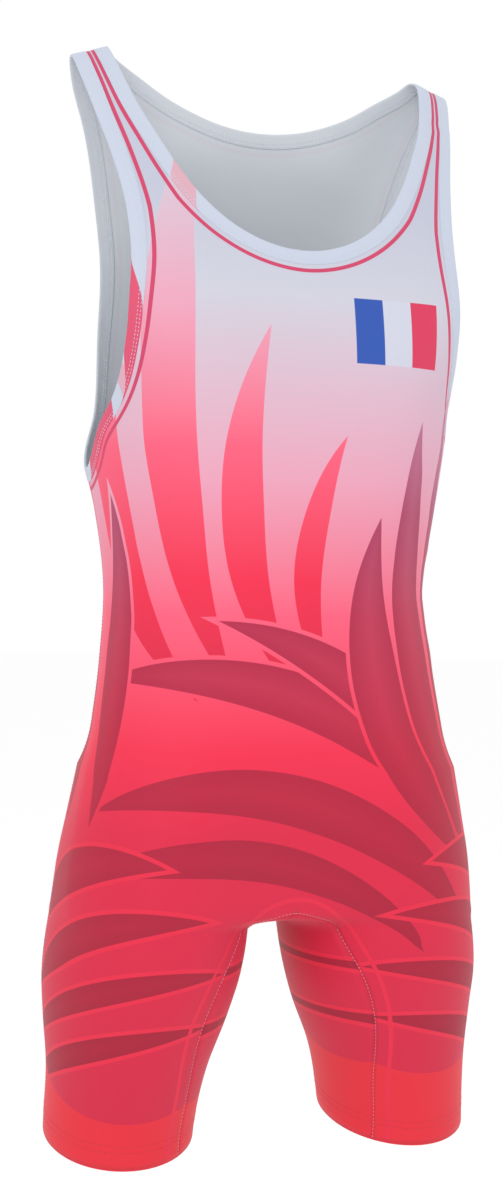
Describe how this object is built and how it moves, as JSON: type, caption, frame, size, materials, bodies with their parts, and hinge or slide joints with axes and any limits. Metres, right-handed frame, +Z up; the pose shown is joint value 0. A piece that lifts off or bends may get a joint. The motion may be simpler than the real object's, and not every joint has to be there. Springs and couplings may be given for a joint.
{
  "type": "wrestling singlet",
  "caption": "Skin-tight sleeveless one-piece wrestling suit with a deep round neck, deep armholes and legs to mid-thigh, in the shape it takes when worn.",
  "frame": {"origin": "midway between the two shoulders, at the height of the tops of the straps, where the wearer's shoulders carry the suit", "axes": "+Z up, -Y the way the chest faces, +X towards the wearer's left arm"},
  "size_m": [0.348, 0.2168, 0.8588],
  "materials": {
    "body_knit": "matt stretch knit, printed white fading to red",
    "band_knit": "matt stretch knit, folded double",
    "hem_knit": "matt stretch knit"
  },
  "bodies": {
    "root": {"front_panel": "body_knit", "back_panel": "body_knit", "front_leg_left": "body_knit", "front_leg_right": "body_knit", "back_leg_left": "body_knit", "back_leg_right": "body_knit", "neck_band": "band_knit", "armhole_band_left": "band_knit", "armhole_band_right": "band_knit", "leg_hem_left": "hem_knit", "leg_hem_right": "hem_knit"}
  },
  "joints": []
}
